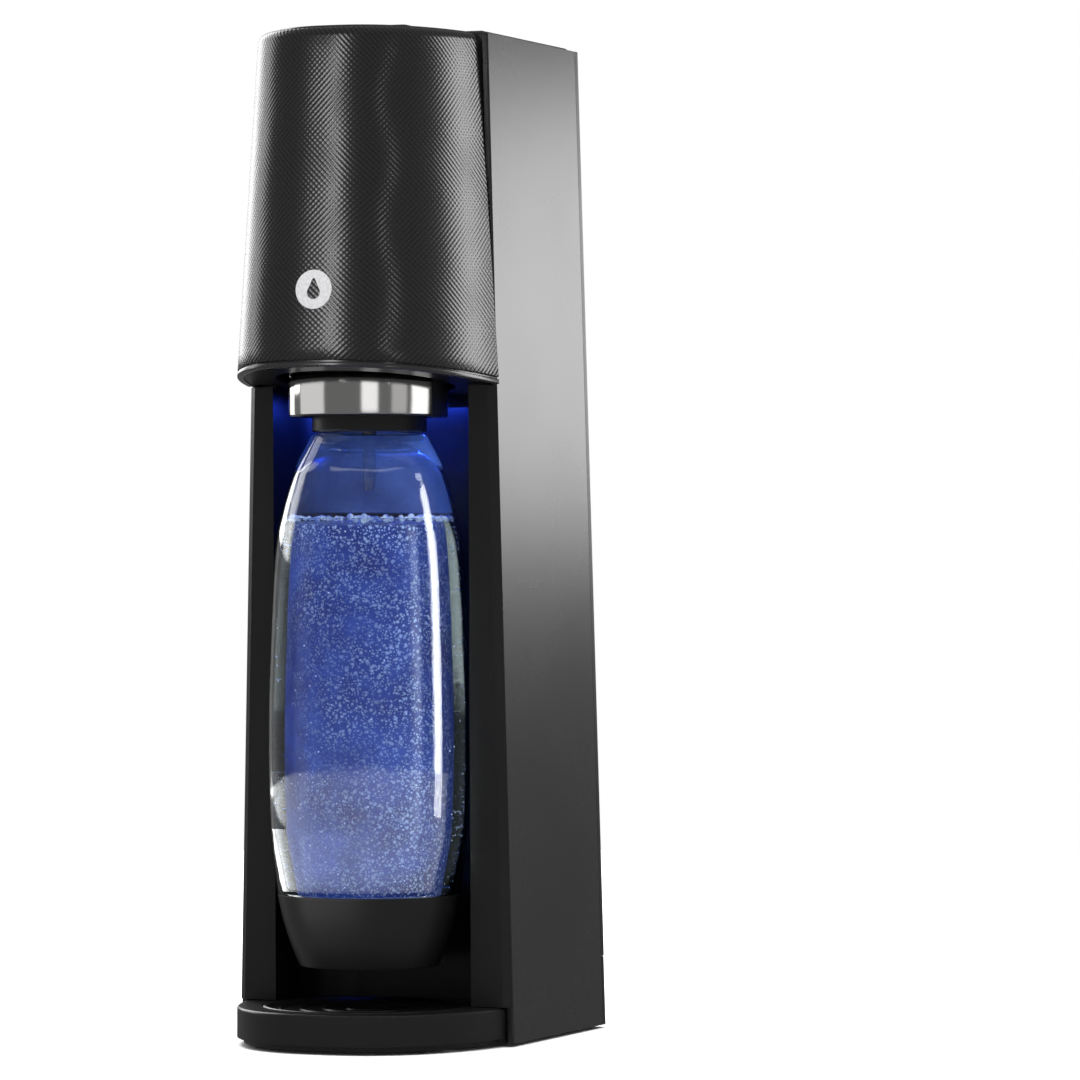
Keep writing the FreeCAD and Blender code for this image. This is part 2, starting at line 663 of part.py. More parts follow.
def cylinder_body():
    side = [(0, 13.0), (20.0, 11.0), (24.5, CYL_FOOT), (27.5, CYL_FOOT), (CYL_R, 12.0), (CYL_R, 300.0)]
    shoulder = spline_edge([(CYL_R, 300.0), (28.2, 314.0), (22.0, 327.0), (13.5, 335.0)])
    neck = [(13.5, 335.0), (13.5, 342.0), (0, 342.0), (0, 13.0)]
    body = turned_edges([shoulder] + line_edges(side) + line_edges(neck))
    inner = CYL_R - CYL_WALL
    bore = turned([(0, 17.0), (23.0, 17.0), (inner, 20.0), (inner, 298.0), (24.0, 311.0), (18.5, 323.0),
                   (9.0, 331.0), (9.0, 343.0), (0, 343.0)])
    body = body.cut(bore)
    body.translate(V(0, CYL_Y, 0))
    return body


def cylinder_valve():
    valve = turned([(2.1, 342.0), (14.0, 342.0), (14.0, 349.0), (10.0, 350.5), (10.0, 363.4),
                    (9.4, VALVE_TOP), (2.1, VALVE_TOP)], 0, CYL_Y)
    flats = [box(-20, -12.4, 60, 100, 343, 350), box(12.4, 20, 60, 100, 343, 350)]
    return cut(valve, flats)


def valve_pin():
    return turned([(0, 348.0), (2.0, 348.0), (2.0, 366.9), (1.6, 367.4), (0, 367.4)], 0, CYL_Y)


def valve_seat():
    block = box(-20, 20, 62, 95, 351.0, 377.0)
    block = round_edges(block, 4.0, lambda e: e.BoundBox.ZLength > 25)
    ears = box(-51.2, 51.2, 63, 70, 351.0, 357.0)
    outlet = rod_y(-11.0, 57.0, 63.0, 368.0, 1.3)
    block = fuse([block, ears, outlet])
    tools = [rod(0, CYL_Y, 350, 364.4, 10.3), box(-10.3, 10.3, CYL_Y, 96, 350, 364.4)]
    tools += [rod(0, CYL_Y, 350, 366.6, 9.0), rod(0, CYL_Y, 350, 380, 2.8)]
    tools += [rod_y(-11.0, 52.0, 66.0, 368.0, 0.8)]
    tools += [rod_x(x, x + 7, LEVER_PIVOT[0], LEVER_PIVOT[1], 2.0) for x in (-21, 14)]
    return cut(block, tools)


def seat_gasket():
    return turned([(3.1, 364.1), (8.9, 364.1), (8.9, 366.6), (3.1, 366.6)], 0, CYL_Y)


def lever_pins():
    y, z = LEVER_PIVOT
    return Part.makeCompound([rod_x(-25.6, -14.0, y, z, 2.0), rod_x(14.0, 25.6, y, z, 2.0)])


def seat_lever():
    y, z = LEVER_PIVOT
    pieces = []
    for x0 in (-25.2, 21.0):
        pieces.append(rod_x(x0, x0 + 4.2, y, z, 5.0))
        pieces.append(box(x0, x0 + 4.2, y, y + LEVER_REACH, z - 3.6, z + 2.4))
    grip = box(-25.2, 25.2, y + LEVER_REACH - 3.0, y + LEVER_REACH, z - 8.0, z + 2.4)
    pieces.append(round_edges(grip, 1.2, lambda e: e.BoundBox.XLength > 50))
    lever = fuse(pieces)
    return lever.cut(rod_x(-30, 30, y, z, 2.06))


def drive_bracket():
    floor = box(-19, 16, 37, 76, 377.0, 379.6)
    motor_plate = box(1.2, 3.6, 37, 61.5, 379.0, 409)
    motor_plate = round_edges(motor_plate, 6.0, lambda e: e.BoundBox.XLength > 2 and e.BoundBox.ZMin > 400)
    inner_plate = box(-8.4, -6.0, 62.5, 86.5, 379.0, 403)
    outer_plate = box(12.0, 14.4, 62.5, 76.0, 379.0, 403)
    guide = box(-8.4, 4.4, 84.0, 86.5, 382.6, 403)
    bracket = fuse([floor, motor_plate, inner_plate, outer_plate, guide])
    tools = [box(4.3, 10.9, 50, 90, 376, 381), rod_x(0, 5, GEAR_Y - 20, GEAR_Z, 4.2)]
    tools += [rod_x(-10, 16, GEAR_Y, GEAR_Z, 1.5)]
    tools += [rod_x(0, 5, GEAR_Y - 20, GEAR_Z + dz, 1.3) for dz in (-8.5, 8.5)]
    return cut(bracket, tools)


def motor():
    y = GEAR_Y - GEAR_MODULE * (GEAR_TEETH + PINION_TEETH) / 2
    can = rod_x(-27.0, 1.2, y, GEAR_Z, 12.0)
    can = round_edges(can, 1.0, lambda e: abs(e.BoundBox.XMin + 27.0) < 0.01 and e.BoundBox.XLength < 0.01)
    boss = rod_x(1.2, 3.4, y, GEAR_Z, 4.0)
    tabs = [box(-30.0, -26.5, y - 1.2, y + 1.2, GEAR_Z + dz, GEAR_Z + dz + 0.6) for dz in (-7.0, 6.4)]
    return fuse([can, boss] + tabs).cut(rod_x(-24, 6, y, GEAR_Z, 1.05))


def motor_pinion():
    y = GEAR_Y - GEAR_MODULE * (GEAR_TEETH + PINION_TEETH) / 2
    pinion = gear_solid(GEAR_MODULE, PINION_TEETH, 5.0, 10.0, y, GEAR_Z, math.pi / PINION_TEETH)
    return fuse([pinion, rod_x(-23.5, 11.0, y, GEAR_Z, 1.0)])


def drive_gear():
    wheel = gear_solid(GEAR_MODULE, GEAR_TEETH, 5.2, 9.8, GEAR_Y, GEAR_Z, math.pi)
    windows = []
    for i in range(6):
        angle = math.pi / 6 + i * math.pi / 3
        windows.append(rod_x(5, 10, GEAR_Y + 10.5 * math.cos(angle), GEAR_Z + 10.5 * math.sin(angle), 2.8))
    hub = gear_solid(HUB_MODULE, HUB_TEETH, -4.0, 5.4, GEAR_Y, GEAR_Z, math.pi / HUB_TEETH)
    collar = rod_x(-5.7, -3.9, GEAR_Y, GEAR_Z, 3.4)
    boss = rod_x(9.6, 11.7, GEAR_Y, GEAR_Z, 3.4)
    return fuse([cut(wheel, windows), hub, collar, boss]).cut(rod_x(-10, 15, GEAR_Y, GEAR_Z, 1.55))


def gear_axle():
    return fuse([rod_x(-9.2, 15.2, GEAR_Y, GEAR_Z, 1.5), rod_x(14.4, 15.4, GEAR_Y, GEAR_Z, 2.4)])


def plunger():
    """The toothed pusher: its rack faces the hub gear and its tip stands over the cylinder's valve pin."""
    front = CYL_Y - 3.5
    pitch_y = GEAR_Y + HUB_MODULE * HUB_TEETH / 2
    pitch = math.pi * HUB_MODULE
    column = box(-3.5, 3.5, front, CYL_Y + 3.5, 382.6, 414.0)
    tip = rod(0, CYL_Y, 367.7, 383.0, 2.5)
    teeth = []
    lean = math.tan(PRESSURE)
    for step in range(-3, 5):
        z = GEAR_Z + step * pitch
        half = pitch / 4 - TOOTH_PLAY / 4
        outer = half - 0.95 * HUB_MODULE * lean
        inner = half + (front + 0.1 - pitch_y) * lean
        points = [V(-3.5, pitch_y - 0.95 * HUB_MODULE, z - outer), V(-3.5, front + 0.1, z - inner),
                  V(-3.5, front + 0.1, z + inner), V(-3.5, pitch_y - 0.95 * HUB_MODULE, z + outer)]
        teeth.append(polygon_face(points).extrude(V(7, 0, 0)))
    return fuse([column, tip] + teeth)


def gas_hose():
    points = [V(-11, 62, 368), V(-11, 44, 368), V(-30, 22, 364), V(-40, 6, 350), V(-46.5, -6, 334),
              V(-50.5, -8, 316), V(-51.5, 0, 300), V(-43.2, 0, 300)]
    curve = Part.BSplineCurve()
    curve.buildFromPoles(points, False, 3)
    path = Part.Wire(curve.toShape())
    hose = path.makePipeShell([Part.Wire(Part.makeCircle(2.3, points[0], V(0, -1, 0)))], True, True)
    bore = path.makePipeShell([Part.Wire(Part.makeCircle(1.5, points[0], V(0, -1, 0)))], True, True)
    return hose.cut(bore)


# ---------------------------------------------------------------- relief valve

def relief_body():
    x, y = RELIEF
    z = CHASSIS_Z + 3
    return turned([(0, z), (7.0, z), (7.0, z + 20), (1.9, z + 20), (1.9, z + 18), (5.4, z + 18),
                   (5.4, z + 4), (4.3, z + 3), (0, z + 3)], x, y)


def relief_poppet():
    x, y = RELIEF
    z = CHASSIS_Z + 6
    return turned([(0, z), (4.1, z), (5.0, z + 1.0), (5.0, z + 4), (1.6, z + 4), (1.6, z + 22),
                   (0, z + 22)], x, y)


def relief_spring():
    return coil(RELIEF[0], RELIEF[1], CHASSIS_Z + 10.1, CHASSIS_Z + 20.9, 3.5, 0.4, 4)


def main():
    os.makedirs("parts", exist_ok=True)
    node("base_housing", base_housing())
    node("bottom_plate", bottom_plate())
    node("base_screws", base_screws())
    node("rubber_feet", rubber_feet())
    node("drip_tray", drip_tray())
    node("power_inlet", power_inlet())
    node("body_frame", body_frame())
    node("side_panel_left", side_panel(-1))
    node("side_panel_right", side_panel(1))
    node("rear_cover", rear_cover())
    node("cover_latch", cover_latch())
    node("latch_spring", latch_spring())
    node("head_cover", head_cover())
    node("head_rim", head_rim())
    node("head_underside", head_underside())
    node("badge", badge())
    node("niche_light_lens", niche_light_lens())
    node("light_board", light_board())
    node("top_cap", top_cap())
    node("button_low", preset_button(BUTTON_X[0]))
    node("button_medium", preset_button(BUTTON_X[1]))
    node("button_high", preset_button(BUTTON_X[2]))
    node("switch_board", switch_board())
    node("preset_switches", preset_switches())
    node("level_lights", level_lights())
    node("head_chassis", head_chassis())
    node("chassis_screws", chassis_screws())
    node("holder_pins", holder_pins())
    node("bottle_holder", bottle_holder())
    node("holder_band", holder_band())
    node("neck_collar", neck_collar())
    node("neck_seal", neck_seal())
    node("nozzle_block", nozzle_block())
    node("nozzle_tube", nozzle_tube())
    node("bottle", bottle())
    node("bottle_base_cup", bottle_base_cup())
    node("water_fill", water_fill())
    node("cylinder_body", cylinder_body())
    node("cylinder_valve", cylinder_valve())
    node("valve_pin", valve_pin())
    node("valve_seat", valve_seat())
    node("seat_gasket", seat_gasket())
    node("seat_lever", seat_lever())
    node("lever_pins", lever_pins())
    node("drive_bracket", drive_bracket())
    node("motor", motor())
    node("motor_pinion", motor_pinion())
    node("drive_gear", drive_gear())
    node("gear_axle", gear_axle())
    node("plunger", plunger())
    node("gas_hose", gas_hose())
    node("relief_body", relief_body())
    node("relief_poppet", relief_poppet())
    node("relief_spring", relief_spring())


main()
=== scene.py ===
import json
import math
import random

import bmesh
import bpy
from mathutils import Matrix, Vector


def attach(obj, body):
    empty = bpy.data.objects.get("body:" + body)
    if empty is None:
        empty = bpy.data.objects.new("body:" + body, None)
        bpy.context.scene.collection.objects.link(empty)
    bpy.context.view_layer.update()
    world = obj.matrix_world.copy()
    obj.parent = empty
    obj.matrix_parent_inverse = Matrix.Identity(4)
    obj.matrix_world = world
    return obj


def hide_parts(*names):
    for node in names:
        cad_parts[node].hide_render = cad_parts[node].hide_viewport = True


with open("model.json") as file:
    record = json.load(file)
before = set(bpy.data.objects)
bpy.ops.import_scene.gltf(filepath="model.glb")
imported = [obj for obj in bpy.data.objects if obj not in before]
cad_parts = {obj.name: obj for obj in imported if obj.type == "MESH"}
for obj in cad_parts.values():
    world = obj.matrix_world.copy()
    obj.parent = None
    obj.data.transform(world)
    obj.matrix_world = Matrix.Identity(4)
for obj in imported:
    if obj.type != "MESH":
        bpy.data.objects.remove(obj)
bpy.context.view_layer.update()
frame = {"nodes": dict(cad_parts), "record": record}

# Sizes are in mm, lights and the camera's clip in metres; heights are counted from the table.
MM = 0.001
AXIS_Y = -29.6          # the bottle's axis; y below is counted from it
POWER = 2.46            # the rounded front's superellipse
CURVE_Y = 50.3          # centre of that curve
HEAD_Z = (293.0, 436.0)
HEAD_HALF = (62.8, 54.3)
HEAD_NOSE = (-60.4, -51.2)
RIM_SLOPE = -0.10       # the head's lower edge falls towards the back
RIM_TALL = 3.0
COVER_TOP = 438.6
COVER_WALL = 2.5
COVER_ROUND = 4.0       # rounding of the cover's top edge
FRONT_Y = (7.0, 2.0)    # where the front curve ends, at the foot and at the top
TOWER_Z = (1.5, 438.4)
RIB_PITCH = 1.75        # across the ribs of the head's cover
BADGE_Z = 326.0
BADGE_R = 8.4
DROP_R = 3.1
BOTTLE_WALL = 1.4
WATER_INSET = 2.1       # water's surface inside the bottle's outer face
MIST_INSET = 1.9
WATER_LEVEL = 228.0
GLOW_CORE_SHARE = 0.66        # radius of the glowing core, a painted glow inside the clear water, over the water's own
BUBBLES = 1500
FROTH = 420
BOTTLE_SIDE = [(40.0, 66.2), (42.9, 92.0), (44.0, 128.0), (43.3, 168.0), (41.2, 211.0), (38.0, 231.0),
               (32.9, 249.0), (25.6, 264.0)]

AZIMUTH = math.radians(22.2)
DISTANCE = 2446.0
ASIDE = 74.3
EYE_Z = 219.3
SENSOR = 36.0
FOCAL_IN_FRAMES = 5620.0 / 1080.0
FLOOR_R = 1.5
SKY_LEVEL = 0.16        # the world's strength to all but the camera
SKY_DIFFUSE = 0.5       # and what is added for diffuse light


# ---------------------------------------------------------------- shapes

def mesh_piece(name, verts, faces, body, angle=35.0):
    """A smooth-shaded piece on a body; edges bent more than angle stay sharp."""
    mesh = bpy.data.meshes.new(name)
    mesh.from_pydata([(x * MM, (y + AXIS_Y) * MM, z * MM) for x, y, z in verts], [], faces)
    mesh.validate()
    piece = bpy.data.objects.new(name, mesh)
    bpy.context.scene.collection.objects.link(piece)
    bm = bmesh.new()
    bm.from_mesh(mesh)
    bmesh.ops.recalc_face_normals(bm, faces=bm.faces)
    for edge in bm.edges:
        edge.smooth = len(edge.link_faces) < 2 or edge.calc_face_angle(0.0) < math.radians(angle)
    for face in bm.faces:
        face.smooth = True
    bm.to_mesh(mesh)
    bm.free()
    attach(piece, body)
    return piece


def catmull(points, steps):
    """A smooth run through the points, by Catmull-Rom."""
    ext = [points[0]] + list(points) + [points[-1]]
    run = []
    for i in range(1, len(ext) - 2):
        p0, p1, p2, p3 = ext[i - 1], ext[i], ext[i + 1], ext[i + 2]
        for k in range(steps):
            t = k / steps
            run.append(tuple(0.5 * (2 * b + (c - a) * t + (2 * a - 5 * b + 4 * c - d) * t * t +
                                    (3 * b - a - 3 * c + d) * t ** 3) for a, b, c, d in zip(p0, p1, p2, p3)))
    run.append(tuple(points[-1]))
    return run


def turned(name, profile, body, segments=128, start=0.0, sweep=360.0, closed=True, angle=35.0):
    """Revolves a (radius, height) profile about the bottle's axis; sweep < 360 makes a capped arc."""
    whole = sweep >= 360.0
    columns = segments if whole else segments + 1
    verts = []
    for c in range(columns):
        a = math.radians(start + sweep * c / segments)
        verts += [(r * math.cos(a), r * math.sin(a), z) for r, z in profile]
    n = len(profile)
    faces = []
    for c in range(segments):
        d = (c + 1) % columns
        for i in range(n if closed else n - 1):
            j = (i + 1) % n
            faces.append((c * n + i, c * n + j, d * n + j, d * n + i))
    if not whole:
        faces.append(tuple(range(n)))
        faces.append(tuple((columns - 1) * n + i for i in reversed(range(n))))
    piece = mesh_piece(name, verts, faces, body, angle=angle)
    if not closed or any(r < 1e-6 for r, z in profile):
        bm = bmesh.new()
        bm.from_mesh(piece.data)
        bmesh.ops.remove_doubles(bm, verts=bm.verts, dist=1e-7)
        bm.to_mesh(piece.data)
        bm.free()
    return piece


def front_point(t, half, nose):
    """A point of the rounded front at parameter t."""
    s, c = math.sin(t), math.cos(t)
    return (half * math.copysign(abs(c) ** (2 / POWER), c), CURVE_Y - (CURVE_Y - nose) * s ** (2 / POWER))


def end_angle(nose, y_end):
    """The parameter at which the rounded front reaches y_end."""
    return math.asin(((CURVE_Y - y_end) / (CURVE_Y - nose)) ** (POWER / 2))


def linear(pair, z, span):
    return pair[0] + (pair[1] - pair[0]) * (z - span[0]) / (span[1] - span[0])


def rim_at(y):
    """Height of the head's lower edge at depth y."""
    return HEAD_Z[0] + RIM_SLOPE * (y - HEAD_NOSE[0])


def front_shell(name, rings, body, columns=260, angle=35.0):
    """A closed shell with the head's rounded plan. Each ring is (inset, height or a function of the outer y)."""
    verts, lengths = [], []
    n = len(rings)
    for c in range(columns + 1):
        for inset, height in rings:
            z_mid = height if not callable(height) else height(-20.0)
            half = linear(HEAD_HALF, z_mid, HEAD_Z) - inset
            nose = linear(HEAD_NOSE, z_mid, HEAD_Z) + inset
            back = linear(FRONT_Y, z_mid, TOWER_Z) - 0.5
            t0 = end_angle(nose, back)
            x, y = front_point(t0 + (math.pi - 2 * t0) * c / columns, half, nose)
            z = height(y) if callable(height) else height
            if callable(height):
                half = linear(HEAD_HALF, z, HEAD_Z) - inset
                nose = linear(HEAD_NOSE, z, HEAD_Z) + inset
                t0 = end_angle(nose, back)
                x, y = front_point(t0 + (math.pi - 2 * t0) * c / columns, half, nose)
                z = height(y)
            verts.append((x, y, z))
    faces = []
    for c in range(columns):
        for i in range(n):
            j = (i + 1) % n
            faces.append((c * n + i, c * n + j, (c + 1) * n + j, (c + 1) * n + i))
    faces.append(tuple(range(n)))
    faces.append(tuple(columns * n + i for i in reversed(range(n))))
    piece = mesh_piece(name, verts, faces, body, angle=angle)
    arc = [0.0]
    for c in range(columns):
        a, b = verts[c * n + n // 2], verts[(c + 1) * n + n // 2]
        arc.append(arc[-1] + math.hypot(b[0] - a[0], b[1] - a[1]))
    layer = piece.data.uv_layers.new(name="surface")
    for loop in piece.data.loops:
        column = loop.vertex_index // n
        layer.data[loop.index].uv = ((arc[column] - arc[-1] / 2) * 0.01, verts[loop.vertex_index][2] * 0.01)
    return piece


# ---------------------------------------------------------------- materials

def node(tree, kind, **values):
    made = tree.nodes.new(kind)
    for key, value in values.items():
        if hasattr(made, key):
            setattr(made, key, value)
        else:
            made.inputs[key.replace("_", " ")].default_value = value
    return made


def blank(name, color, rough, **sockets):
    mat = bpy.data.materials.new(name)
    mat.use_nodes = True
    shader = mat.node_tree.nodes["Principled BSDF"]
    shader.inputs["Base Color"].default_value = (*color, 1.0)
    shader.inputs["Roughness"].default_value = rough
    for key, value in sockets.items():
        shader.inputs[key.replace("_", " ")].default_value = value
    return mat, mat.node_tree, shader


def object_place(tree):
    return node(tree, "ShaderNodeTexCoord").outputs["Object"]


def noise(tree, place, **values):
    made = node(tree, "ShaderNodeTexNoise", **values)
    tree.links.new(place, made.inputs["Vector"])
    return made.outputs["Fac"]


def mapped(tree, value, **values):
    made = node(tree, "ShaderNodeMapRange", **values)
    tree.links.new(value, made.inputs["Value"])
    return made.outputs["Result"]


def ramp(tree, factor, low, high, at=(0.0, 1.0)):
    made = node(tree, "ShaderNodeValToRGB")
    for end, color, position in zip(made.color_ramp.elements, (low, high), at):
        end.color = (*color, 1)
        end.position = position
    tree.links.new(factor, made.inputs["Fac"])
    return made.outputs["Color"]


def bumped(tree, shader, height, strength, distance):
    bump = node(tree, "ShaderNodeBump", Strength=strength, Distance=distance)
    tree.links.new(height, bump.inputs["Height"])
    tree.links.new(bump.outputs["Normal"], shader.inputs["Normal"])


def moulded(name, color, rough, grain=900.0, depth=0.06, vary=0.25, mottle=14.0, **sockets):
    """Moulded plastic, paint or rubber: fine surface grain, slow changes of sheen and slight colour variation."""
    mat, tree, shader = blank(name, color, rough, **sockets)
    place = object_place(tree)
    slow = noise(tree, place, Scale=mottle, Detail=4.0)
    gloss = mapped(tree, slow, To_Min=rough * (1 - vary), To_Max=rough * (1 + vary))
    tree.links.new(gloss, shader.inputs["Roughness"])
    dark = [c * 0.85 for c in color]
    pale = [min(1.0, c * 1.12) for c in color]
    tree.links.new(ramp(tree, slow, dark, pale, at=(0.3, 0.7)), shader.inputs["Base Color"])
    bumped(tree, shader, noise(tree, place, Scale=grain, Detail=3.0), depth, 0.0004)
    return mat


def brushed(name, color, rough, stretch=(1.0, 1.0, 60.0), scale=260.0, depth=0.08):
    """Metal with fine lines; stretch says along which axes the lines are short."""
    mat, tree, shader = blank(name, color, rough, Metallic=1.0)
    squeeze = node(tree, "ShaderNodeMapping")
    squeeze.inputs["Scale"].default_value = stretch
    tree.links.new(object_place(tree), squeeze.inputs["Vector"])
    lines = noise(tree, squeeze.outputs["Vector"], Scale=scale, Detail=5.0)
    tree.links.new(mapped(tree, lines, To_Min=rough * 0.7, To_Max=rough * 1.35), shader.inputs["Roughness"])
    bumped(tree, shader, lines, depth, 0.0002)
    return mat


def math_node(tree, operation, a, b=None):
    made = node(tree, "ShaderNodeMath", operation=operation)
    for socket, value in zip(made.inputs, (a, b)):
        if value is None:
            continue
        if isinstance(value, (int, float)):
            socket.default_value = value
        else:
            tree.links.new(value, socket)
    return made.outputs[0]


def ribbed_black():
    """The head's crossed diagonal ribs: two sets whose depths trade places slowly up and round the cover."""
    mat, tree, shader = blank("head_black", (0.007, 0.007, 0.0075), 0.32)
    place = node(tree, "ShaderNodeUVMap", uv_map="surface").outputs["UV"]
    split = node(tree, "ShaderNodeSeparateXYZ")
    tree.links.new(place, split.inputs["Vector"])
    u, v = split.outputs["X"], split.outputs["Y"]
    turns = 2 * math.pi * 100.0 / (RIB_PITCH * math.sqrt(2))
    rising = math_node(tree, "SINE", math_node(tree, "MULTIPLY", math_node(tree, "ADD", u, v), turns))
    falling = math_node(tree, "SINE", math_node(tree, "MULTIPLY", math_node(tree, "SUBTRACT", u, v), turns))
    slow = noise(tree, place, Scale=1.6, Detail=0.0)
    phase = math_node(tree, "ADD", math_node(tree, "MULTIPLY", v, 11.0), math_node(tree, "MULTIPLY", slow, 1.2))
    sway = math_node(tree, "SINE", phase)
    share = mapped(tree, sway, From_Min=-1.0, From_Max=1.0, To_Min=0.15, To_Max=0.85)
    rest = math_node(tree, "SUBTRACT", 1.0, share)
    height = math_node(tree, "ADD", math_node(tree, "MULTIPLY", rising, share),
                       math_node(tree, "MULTIPLY", falling, rest))
    bumped(tree, shader, height, 1.0, 0.000038)
    gloss = mapped(tree, height, From_Min=-1.0, From_Max=1.0, To_Min=0.3, To_Max=0.18)
    tree.links.new(gloss, shader.inputs["Roughness"])
    # The ribs' valleys are painted darker and their crests lighter: painted shade in the grooves, painted highlight
    # on the crests.
    crest = math_node(tree, "ADD", math_node(tree, "MULTIPLY", height, 0.5), 0.5)
    painted_groove_shade = ramp(tree, crest, (0.004, 0.004, 0.0043), (0.012, 0.012, 0.0125))
    tree.links.new(painted_groove_shade, shader.inputs["Base Color"])
    return mat


def clear(name, color, rough, ior, scale, detail, strength, distance):
    """Glass-clear plastic or water with a slightly wavy surface."""
    mat, tree, shader = blank(name, color, rough, Transmission_Weight=1.0, IOR=ior)
    bumped(tree, shader, noise(tree, object_place(tree), Scale=scale, Detail=detail), strength, distance)
    return mat


def self_lit(tree, shader, color, strength):
    tree.links.new(color, shader.inputs["Base Color"])
    tree.links.new(color, shader.inputs["Emission Color"])
    shader.inputs["Emission Strength"].default_value = strength


def lit_water():
    """Sparkling water that glows blue by emission, a painted glow standing in for the blue light from above: drifting
    blue shades, and specks that gather low, right and at the top; those at the right are a painted highlight.
    """
    mat, tree, shader = blank("lit_water", (0.03, 0.07, 0.5), 0.3)
    link = tree.links.new
    place = object_place(tree)
    split = node(tree, "ShaderNodeSeparateXYZ")
    link(place, split.inputs["Vector"])
    x, z = split.outputs["X"], split.outputs["Z"]
    cloud = noise(tree, place, Scale=26.0, Detail=6.0, Roughness=0.7)
    blue = ramp(tree, cloud, (0.008, 0.018, 0.2), (0.04, 0.09, 0.5), at=(0.36, 0.68))
    specks = []
    for scale, edge, centre in ((330.0, 0.3, 0.16), (560.0, 0.34, 0.18), (900.0, 0.36, 0.2)):
        cells = node(tree, "ShaderNodeTexVoronoi", Scale=scale)
        link(place, cells.inputs["Vector"])
        specks.append(mapped(tree, cells.outputs["Distance"], From_Min=edge, From_Max=centre))
    foam = math_node(tree, "MAXIMUM", math_node(tree, "MAXIMUM", specks[0], specks[1]), specks[2])
    patch = noise(tree, place, Scale=30.0, Detail=4.0)
    dense = mapped(tree, patch, From_Min=0.36, From_Max=0.66, To_Min=0.0, To_Max=0.5)
    bottom = mapped(tree, z, From_Min=0.12, From_Max=0.06, To_Min=0.0, To_Max=0.15)
    # More pale specks towards the object's right: a painted highlight band on that side.
    right = mapped(tree, x, From_Min=-0.01, From_Max=0.03, To_Min=0.0, To_Max=0.3)
    top = mapped(tree, z, From_Min=0.214, From_Max=0.226, To_Min=0.0, To_Max=0.6)
    amount = math_node(tree, "ADD", math_node(tree, "ADD", dense, bottom), math_node(tree, "ADD", top, right))
    white = node(tree, "ShaderNodeMath", operation="MULTIPLY", use_clamp=True)
    link(foam, white.inputs[0])
    link(amount, white.inputs[1])
    mix = node(tree, "ShaderNodeMixRGB")
    link(white.outputs[0], mix.inputs["Fac"])
    link(blue, mix.inputs["Color1"])
    mix.inputs["Color2"].default_value = (0.5, 0.66, 1.0, 1)
    # Emission makes the water glow: a painted glow standing in for the blue light from above.
    self_lit(tree, shader, mix.outputs["Color"], 0.3)
    bumped(tree, shader, cloud, 0.2, 0.0004)
    return mat


def mist():
    """Fine droplets on the inside of the bottle above the water, glowing blue by emission: a painted glow standing in
    for the blue light, denser and so brighter towards the object's right.
    """
    mat, tree, shader = blank("mist", (0.02, 0.04, 0.2), 0.6)
    link = tree.links.new
    place = object_place(tree)
    split = node(tree, "ShaderNodeSeparateXYZ")
    link(place, split.inputs["Vector"])
    cloud = noise(tree, place, Scale=45.0, Detail=5.0)
    tone = ramp(tree, cloud, (0.03, 0.06, 0.28), (0.1, 0.22, 0.8), at=(0.3, 0.7))
    link(tone, shader.inputs["Emission Color"])
    shader.inputs["Emission Strength"].default_value = 0.7
    # Alpha rises towards the object's right, so that side glows brighter: painted light, as if light falls there.
    across = mapped(tree, split.outputs["X"], From_Min=-0.022, From_Max=0.012, To_Min=0.12, To_Max=0.5)
    cells = node(tree, "ShaderNodeTexVoronoi", Scale=700.0)
    link(place, cells.inputs["Vector"])
    drops = mapped(tree, cells.outputs["Distance"], From_Min=0.1, From_Max=0.4, To_Min=1.0, To_Max=0.7)
    link(math_node(tree, "MULTIPLY", across, drops), shader.inputs["Alpha"])
    return mat


def foam():
    """Gas bubbles and froth: pale blue and unevenly bright, glowing by emission as a painted glow standing in for the
    blue light.
    """
    mat, tree, shader = blank("foam", (0.6, 0.72, 0.95), 0.25)
    cloud = noise(tree, object_place(tree), Scale=240.0, Detail=2.0)
    tone = ramp(tree, cloud, (0.08, 0.16, 0.6), (0.62, 0.76, 1.0), at=(0.35, 0.65))
    self_lit(tree, shader, tone, 0.3)
    return mat


def glow(name, color, strength):
    mat, tree, shader = blank(name, color, 0.4)
    cloud = noise(tree, object_place(tree), Scale=180.0, Detail=2.0)
    self_lit(tree, shader, ramp(tree, cloud, [c * 0.75 for c in color], color), strength)
    return mat


